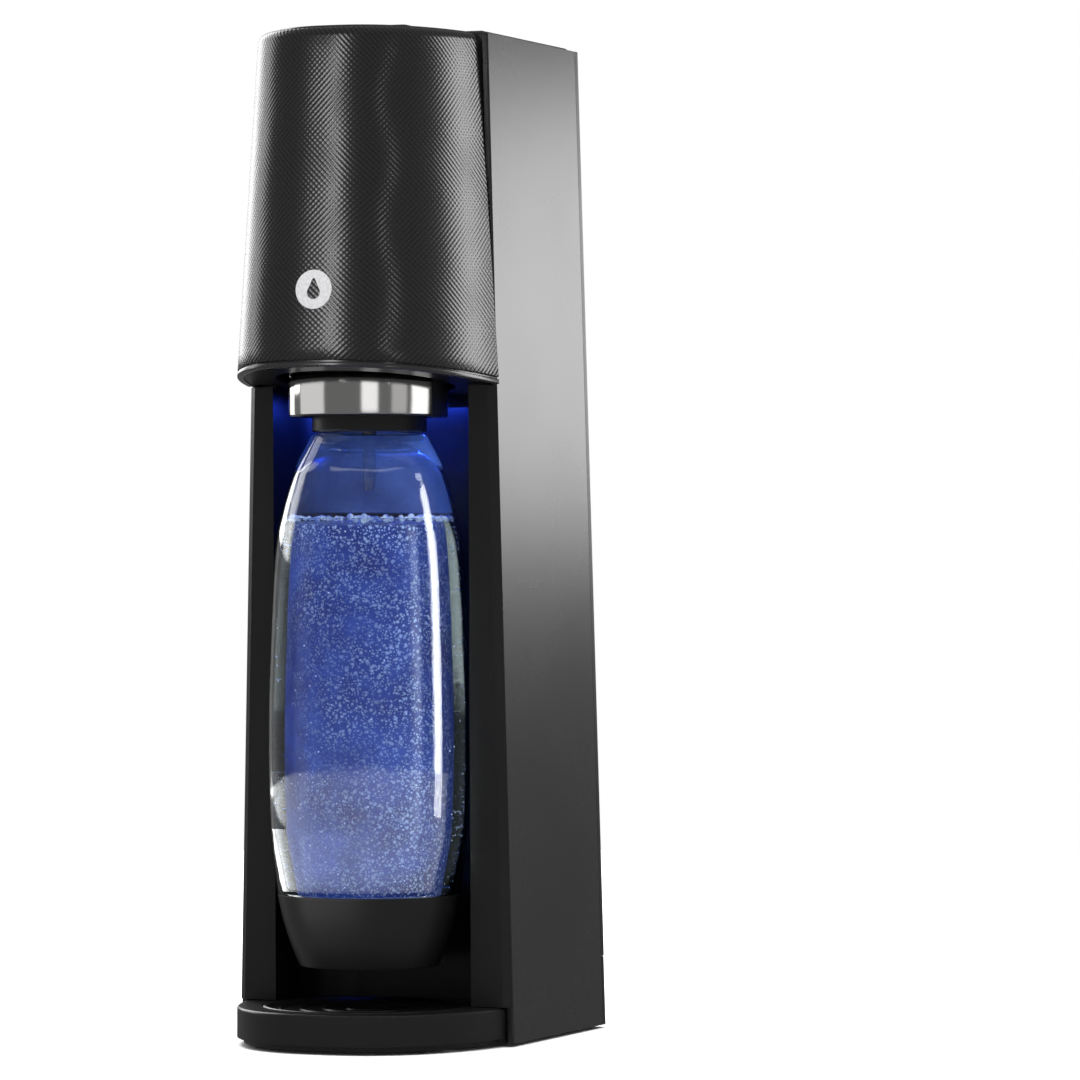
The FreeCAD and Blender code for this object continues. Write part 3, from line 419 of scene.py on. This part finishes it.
SLOTS = {
    "black_plastic": moulded("black_plastic", (0.007, 0.007, 0.0073), 0.34, depth=0.05),
    "panel_black": moulded("panel_black", (0.008, 0.008, 0.0083), 0.27, grain=1500.0, depth=0.03,
                           vary=0.12, IOR=1.7),
    "head_black": ribbed_black(),
    "cap_black": moulded("cap_black", (0.014, 0.014, 0.015), 0.22, depth=0.03),
    "band_steel": brushed("band_steel", (0.72, 0.71, 0.7), 0.1, stretch=(1, 1, 40), depth=0.04),
    "badge_silver": moulded("badge_silver", (0.42, 0.42, 0.43), 0.45, grain=2200.0, depth=0.3, mottle=900.0),
    "clear_bottle": clear("clear_bottle", (0.95, 0.98, 0.99), 0.03, 1.38, 60.0, 2.0, 0.15, 0.0006),
    "lit_water": lit_water(),
    "blue_lens": glow("blue_lens", (0.06, 0.13, 1.0), 3.0),
    "pale_lens": moulded("pale_lens", (0.75, 0.77, 0.8), 0.3, Transmission_Weight=0.4),
    "rubber_black": moulded("rubber_black", (0.016, 0.016, 0.016), 0.75, depth=0.15),
    "board_green": moulded("board_green", (0.02, 0.16, 0.06), 0.35, mottle=120.0),
    "switch_grey": moulded("switch_grey", (0.06, 0.06, 0.065), 0.45),
    "grey_plastic": moulded("grey_plastic", (0.27, 0.28, 0.3), 0.5),
    "cylinder_paint": moulded("cylinder_paint", (0.32, 0.34, 0.37), 0.3, grain=500.0, depth=0.08),
    "valve_brass": brushed("valve_brass", (0.72, 0.5, 0.2), 0.28),
    "nozzle_dark": moulded("nozzle_dark", (0.02, 0.02, 0.024), 0.25),
    "pin_steel": brushed("pin_steel", (0.5, 0.5, 0.51), 0.3),
    "motor_steel": brushed("motor_steel", (0.5, 0.5, 0.51), 0.34),
    "gear_white": moulded("gear_white", (0.78, 0.77, 0.72), 0.4),
    "pinion_brass": brushed("pinion_brass", (0.72, 0.52, 0.22), 0.26),
    "hose_clear": moulded("hose_clear", (0.62, 0.66, 0.7), 0.3, Transmission_Weight=0.3),
}
CLEAR_WATER = clear("clear_water", (0.8, 0.89, 0.91), 0.02, 1.33, 70.0, 3.0, 0.1, 0.0005)
GLOWING_MIST = mist()
FOAM = foam()


def dress(piece, slot, material=None):
    """Gives the piece one material: the named slot's own, unless another is given."""
    piece.data.materials.clear()
    piece.data.materials.append(material or SLOTS[slot])


for entry in frame["record"]["subparts"]:
    cad = frame["nodes"][entry["node"]]
    for place in cad.material_slots:
        place.material = SLOTS[entry["material_slot"]]


# ---------------------------------------------------------------- head

def cover_foot(y):
    return rim_at(y) + RIM_TALL


def cover_rings():
    """Section of the cover: up its outer face from the rounded foot, over the top edge and down inside."""
    wall = COVER_WALL
    shoulder = COVER_TOP - COVER_ROUND
    rings = [(wall, lambda y: cover_foot(y) + 6.0), (wall, cover_foot), (0.5, cover_foot),
             (0.15, lambda y: cover_foot(y) + 0.15), (0.0, lambda y: cover_foot(y) + 0.5)]
    rows = 24
    for i in range(1, rows):
        share = i / rows
        rings.append((0.0, lambda y, share=share: cover_foot(y) + (shoulder - cover_foot(y)) * share))
    for i in range(0, 9):
        a = math.radians(90 * i / 8)
        rings.append((COVER_ROUND * (1 - math.cos(a)), shoulder + COVER_ROUND * math.sin(a)))
    rings += [(6.2, COVER_TOP), (6.5, COVER_TOP - 0.3), (6.5, 432.0), (wall, 432.0), (wall, 420.0), (wall, 330.0)]
    return rings


head = front_shell("ribbed_head_cover", cover_rings(), "machine")
dress(head, "head_black")
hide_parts("head_cover")

# (inset, height above the head's lower edge)
rim_section = [(2.9, 0.0), (0.5, 0.0), (0.15, 0.15), (0.0, 0.5), (0.0, 1.7), (0.15, 2.05), (0.5, 2.2), (1.2, 2.2),
               (1.2, RIM_TALL), (2.4, RIM_TALL), (2.4, 2.2), (2.9, 2.2)]
rim_rings = [(inset, lambda y, up=up: rim_at(y) + up) for inset, up in rim_section]
rim = front_shell("polished_rim", rim_rings, "machine", angle=30.0)
dress(rim, "cap_black")
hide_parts("head_rim")


# ---------------------------------------------------------------- bottle, band and water

def bottle_profile():
    """Section of the hollow bottle, from the foot up outside, over the neck's threads and down inside."""
    side = catmull(BOTTLE_SIDE, 8)
    foot = [(0.001, 44.0), (8.0, 42.4), (14.0, 41.0), (20.0, 40.6), (26.0, 41.6), (30.5, 46.0), (33.4, 51.0),
            (36.0, 58.0), (37.4, 65.4), (38.6, 65.9), (39.5, 66.0)]
    neck = [(25.1, 264.8), (24.2, 265.3), (17.4, 265.6), (16.2, 266.0), (15.4, 267.0), (15.2, 268.4), (15.2, 272.0),
            (15.9, 272.4), (15.9, 273.4), (15.2, 273.8), (15.2, 276.0), (15.9, 276.4), (15.9, 277.4), (15.2, 277.8),
            (15.2, 282.0), (15.5, 282.6), (15.4, 283.6), (14.8, 284.0), (12.4, 284.0), (11.8, 283.4)]
    inner = [(11.8, 268.4), (13.0, 265.8), (22.6, 262.6)]
    inner += [(r - BOTTLE_WALL, z) for r, z in reversed(catmull(BOTTLE_SIDE[1:-1], 8))]
    inner += [(36.6, 67.0), (34.6, 59.0), (32.0, 52.4), (29.2, 47.6), (25.6, 43.4), (20.0, 42.2), (14.0, 42.6),
              (8.0, 43.9), (0.001, 45.4)]
    return foot + side + neck + inner


bottle = turned("clear_bottle_shell", bottle_profile(), "filled_bottle", segments=160, closed=True, angle=50.0)
dress(bottle, "clear_bottle")
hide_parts("bottle")

water_side = [(r - WATER_INSET, z) for r, z in catmull(BOTTLE_SIDE[1:-1], 8) if z < WATER_LEVEL - 2.0]
water_profile = [(0.001, 46.2), (8.0, 44.7), (14.0, 43.4), (20.0, 43.0), (24.8, 44.2), (28.4, 48.4), (31.2, 53.2),
                 (33.8, 59.8), (35.8, 67.8)]
water_profile += water_side
water_profile += [(36.6, WATER_LEVEL + 0.6), (36.0, WATER_LEVEL + 0.4), (35.0, WATER_LEVEL),
                  (28.0, WATER_LEVEL - 0.4), (14.0, WATER_LEVEL - 0.5), (0.001, WATER_LEVEL - 0.5)]
water = turned("sparkling_water", water_profile, "filled_bottle", segments=128, closed=False, angle=60.0)
dress(water, "lit_water", CLEAR_WATER)
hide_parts("water_fill")


def side_radius(z):
    """Radius of the water's side at height z."""
    sides = [(31.2, 53.2), (35.8, 67.8)] + water_side + [(36.6, WATER_LEVEL + 0.6)]
    for (r0, z0), (r1, z1) in zip(sides, sides[1:]):
        if z0 <= z <= z1:
            return r0 + (r1 - r0) * (z - z0) / (z1 - z0)
    return 30.0


# A core inside the clear water that glows blue by emission: a painted glow standing in for the blue light.
glow_core_profile = [(0.001, 53.0)] + [(GLOW_CORE_SHARE * side_radius(z), z) for z in range(54, int(WATER_LEVEL), 3)]
glow_core_profile.append((0.001, WATER_LEVEL - 1.2))
glow_core = turned("painted_glow_column", glow_core_profile, "filled_bottle", segments=128, closed=False, angle=60.0)
dress(glow_core, "lit_water")


def bubbles(name, spots, detail):
    """One piece of small balls, from spots of (x, y, z, radius)."""
    ball = bmesh.new()
    bmesh.ops.create_icosphere(ball, subdivisions=detail, radius=1.0)
    ball.verts.ensure_lookup_table()
    corners = [tuple(v.co) for v in ball.verts]
    sides = [tuple(v.index for v in f.verts) for f in ball.faces]
    ball.free()
    verts, faces = [], []
    for x, y, z, r in spots:
        first = len(verts)
        verts += [(x + r * a, y + r * b, z + r * c) for a, b, c in corners]
        faces += [tuple(first + i for i in side) for side in sides]
    piece = mesh_piece(name, verts, faces, "filled_bottle", angle=180.0)
    dress(piece, "lit_water", FOAM)


rng = random.Random(41)
spots = []
while len(spots) < BUBBLES:
    z = rng.uniform(68.0, WATER_LEVEL - 1.0)
    a = rng.uniform(-math.pi, math.pi)
    # The extra share front-right gathers more glowing bubbles where the bottle shows a bright band: a painted
    # highlight.
    weight = 0.12 + 0.4 * (z < 120.0) + 0.2 * (math.cos(a + 0.7) > 0.2) + 0.5 * (z > 214.0)
    if rng.random() > weight:
        continue
    size = 0.13 + 0.34 * rng.random() ** 2.6
    r = side_radius(z)
    spots.append((r * math.cos(a), r * math.sin(a), z, size))
bubbles("bubbles", spots, 1)
spots = []
for i in range(FROTH):
    a = rng.uniform(-math.pi, math.pi)
    size = 0.5 + 1.1 * rng.random() ** 2
    r = 36.4 - size * rng.uniform(0.7, 2.6)
    spots.append((r * math.cos(a), r * math.sin(a), WATER_LEVEL + 0.4 + size * rng.uniform(-0.6, 0.5), size))
bubbles("froth", spots, 2)

# A thin shell above the water that glows blue by emission: a painted glow.
mist_side = [(r - MIST_INSET, z) for r, z in catmull(BOTTLE_SIDE[4:], 8) if z > WATER_LEVEL + 2.0]
mist_glow = turned("glowing_droplet_mist", mist_side, "filled_bottle", segments=96, closed=False, angle=60.0)
dress(mist_glow, "lit_water", GLOWING_MIST)


def smooth_cup():
    outer = catmull([(30.3, 34.6), (34.2, 44.0), (37.6, 55.0), (39.8, 65.2)], 8)
    inner = catmull([(37.7, 65.4), (35.9, 55.0), (33.0, 45.8), (28.6, 38.0)], 6)
    foot = [(0.001, 38.6), (0.001, 36.8), (24.0, 36.2), (25.4, 34.6), (26.4, 34.2), (29.4, 34.2), (30.0, 34.3)]
    return outer + [(39.7, 65.5), (39.3, 65.6), (38.0, 65.6)] + inner + foot


cup = turned("base_cup", smooth_cup(), "filled_bottle", segments=128, closed=True, angle=40.0)
dress(cup, "black_plastic")
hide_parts("bottle_base_cup")

band_profile = [(34.3, 273.4), (35.0, 273.4), (35.2, 273.5), (35.3, 273.8), (35.3, 291.0), (35.2, 291.3),
                (35.0, 291.4), (34.3, 291.4)]
band = turned("steel_band", band_profile, "holder", segments=120, start=-164.0, sweep=148.0, closed=True, angle=40.0)
dress(band, "band_steel")
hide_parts("holder_band")


# ---------------------------------------------------------------- badge

def badge_piece():
    """A round badge lying on the cover's slope, with a drop sunk into its face."""
    slope = (HEAD_NOSE[1] - HEAD_NOSE[0]) / (HEAD_Z[1] - HEAD_Z[0])
    centre = Vector((0, linear(HEAD_NOSE, BADGE_Z, HEAD_Z), BADGE_Z))
    out = Vector((0, -1, slope)).normalized()
    up = Vector((0, slope, 1)).normalized()
    side = Vector((1, 0, 0))
    rows = [(BADGE_R, -0.85), (BADGE_R, 0.15), (BADGE_R - 0.1, 0.3), (BADGE_R - 0.3, 0.36)]
    verts, faces = [], []
    count = 96

    def drop(a):
        """Outline of the drop mark: a circle drawn out to a point at the top."""
        x, y = math.cos(a), math.sin(a)
        reach = 1.0 + 0.95 * max(0.0, y) ** 3.0
        return (DROP_R * x * (1.0 - 0.28 * max(0.0, y) ** 1.5), DROP_R * y * reach - 1.1)

    for r, h in rows:
        for k in range(count):
            a = 2 * math.pi * k / count
            verts.append(centre + side * (r * math.cos(a)) + up * (r * math.sin(a)) + out * h)
    for h in (0.36, -0.15):
        for k in range(count):
            x, y = drop(2 * math.pi * k / count)
            verts.append(centre + side * x + up * y + out * h)
    for row in range(len(rows) + 1):
        for k in range(count):
            j = (k + 1) % count
            a = row * count
            faces.append((a + k, a + j, a + count + j, a + count + k))
    faces.append(tuple(reversed(range(count))))
    faces.append(tuple((len(rows) + 1) * count + k for k in range(count)))
    piece = mesh_piece("drop_badge", [tuple(p) for p in verts], faces, "machine", angle=30.0)
    dress(piece, "badge_silver")
    piece.data.materials.append(SLOTS["black_plastic"])
    for face in piece.data.polygons:
        deep = [piece.data.vertices[i].co - Vector((0, AXIS_Y * MM, 0)) for i in face.vertices]
        if len(face.vertices) == count and (deep[0] / MM - centre).dot(out) > -0.5:
            face.material_index = 1
    return piece


badge = badge_piece()
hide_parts("badge")


# ---------------------------------------------------------------- camera, light and floor

lens = bpy.data.cameras.new("camera")
lens.lens = FOCAL_IN_FRAMES * SENSOR
lens.sensor_width = SENSOR
lens.clip_end = 50.0
camera = bpy.data.objects.new("camera", lens)
camera.location = ((ASIDE * math.cos(AZIMUTH) + DISTANCE * math.sin(AZIMUTH)) * MM,
                   (ASIDE * math.sin(AZIMUTH) - DISTANCE * math.cos(AZIMUTH) + AXIS_Y) * MM, EYE_Z * MM)
camera.rotation_euler = (math.radians(90), 0, AZIMUTH)
bpy.context.scene.collection.objects.link(camera)
bpy.context.scene.camera = camera
bpy.context.scene.view_settings.view_transform = "Standard"
bpy.context.scene.view_settings.look = "None"

world = bpy.data.worlds.new("studio")
world.use_nodes = True
sky = world.node_tree
backdrop = sky.nodes["Background"]
backdrop.inputs["Color"].default_value = (1.0, 1.0, 1.0, 1)
# The backdrop is white to the camera, and dimmer to what lights and mirrors in the object.
rays = node(sky, "ShaderNodeLightPath")
seen = math_node(sky, "MULTIPLY", rays.outputs["Is Camera Ray"], 1.0 - SKY_LEVEL)
spread = math_node(sky, "MULTIPLY", rays.outputs["Is Diffuse Ray"], SKY_DIFFUSE)
level = math_node(sky, "ADD", math_node(sky, "ADD", seen, spread), SKY_LEVEL)
sky.links.new(level, backdrop.inputs["Strength"])
bpy.context.scene.world = world


def area_lamp(name, width, tall, energy, location):
    """An area light that the camera doesn't see, facing down."""
    data = bpy.data.lights.new(name, "AREA")
    data.shape = "RECTANGLE"
    data.size = width
    data.size_y = tall
    data.energy = energy
    lamp = bpy.data.objects.new(name, data)
    lamp.location = location
    lamp.visible_camera = False
    bpy.context.scene.collection.objects.link(lamp)
    return lamp


def softbox(name, azimuth, distance, height, width, tall, radiance, aim=0.25, only=None):
    """A soft light; azimuth is counted from the front (-Y) towards the right (+X). only: the pieces it lights."""
    a = math.radians(azimuth)
    place = (distance * math.sin(a), -distance * math.cos(a), height)
    lamp = area_lamp(name, width, tall, radiance * width * tall * math.pi, place)
    lamp.rotation_euler = (Vector((0, 0, aim)) - lamp.location).to_track_quat("-Z", "Y").to_euler()
    if only:
        lit = bpy.data.collections.new(name + "_lights")
        for piece in only:
            lit.objects.link(piece)
        lamp.light_linking.receiver_collection = lit


softbox("left_rear_box", -128, 1.6, 0.9, 0.8, 1.2, 3.6)
softbox("left_box", -100, 1.6, 0.9, 0.5, 1.2, 2.6)
softbox("front_band", -13, 2.0, 0.66, 0.4, 0.7, 11.0, only=[head, rim, badge])
softbox("front_right_band", 49, 2.0, 0.42, 0.12, 0.22, 14.0, only=[head, rim])
softbox("head_right_box", 121, 1.6, 0.6, 0.5, 1.0, 8.5, only=[head, rim])
softbox("bottle_right_box", 108, 1.5, 0.42, 0.3, 1.0, 16.0, only=[bottle])
softbox("right_rear_box", 157, 1.4, 0.4, 0.8, 0.3, 3.3, aim=0.34)
softbox("cup_card", -30, 0.6, 0.02, 1.1, 0.5, 0.8, aim=0.1, only=[cup])
ring_lights = (("ring_a", -126, 1.0, 1.3), ("ring_b", -66, 1.3, 0.62), ("ring_c", 24, 0.6, 1.0),
               ("ring_d", 66, 0.6, 0.35), ("ring_e", 100, 0.8, 1.3))
for ring_light, azimuth, width, strength in ring_lights:
    softbox(ring_light, azimuth, 1.5, 0.3, width, 0.9, strength, aim=0.3, only=[band])

overhead = area_lamp("overhead", 5.0, 5.0, 290.0, (0, 0, 3.2))
overhead.visible_glossy = False

niche_glow = area_lamp("niche_glow", 0.05, 0.012, 0.1, (0.0, (39.0 + AXIS_Y) * MM, 0.279))
niche_glow.data.color = (0.02, 0.07, 1.0)
niche_glow.rotation_euler = (math.radians(-8), 0, 0)

corners = [math.radians(3 * i) for i in range(120)]
floor_mesh = bpy.data.meshes.new("floor")
floor_mesh.from_pydata([(FLOOR_R * math.cos(a), FLOOR_R * math.sin(a), 0) for a in corners], [], [tuple(range(120))])
floor = bpy.data.objects.new("floor", floor_mesh)
bpy.context.scene.collection.objects.link(floor)
floor_mat, floor_tree, floor_shader = blank("floor", (0.93, 0.93, 0.93), 0.7)
floor_mesh.materials.append(floor_mat)
floor.visible_glossy = False
